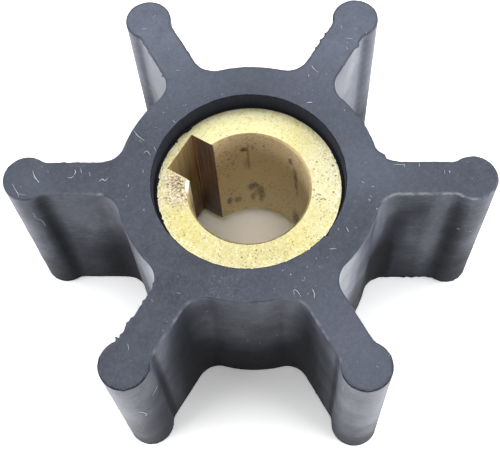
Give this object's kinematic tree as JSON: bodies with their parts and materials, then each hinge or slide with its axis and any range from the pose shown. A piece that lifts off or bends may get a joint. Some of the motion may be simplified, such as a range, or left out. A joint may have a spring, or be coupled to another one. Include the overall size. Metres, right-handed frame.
{
  "type": "flexible pump impeller",
  "caption": "Flexible rubber pump impeller: a ring of straight beaded vanes on a hub moulded round a recessed brass insert with a plain bore and a keyway.",
  "frame": {"origin": "on the shaft axis, in the plane of the lower rubber face", "axes": "+Z along the shaft bore, +X along one vane, +Y through the middle of the keyway, halfway between two vanes"},
  "size_m": [0.0508, 0.0446, 0.0222],
  "materials": {
    "rubber": "matt moulded black rubber, ground flat on the end faces",
    "brass": "faced, pitted brass, dull and stained in the bore and keyway"
  },
  "bodies": {
    "root": {"rubber_rotor": "rubber", "brass_insert": "brass"}
  },
  "joints": []
}
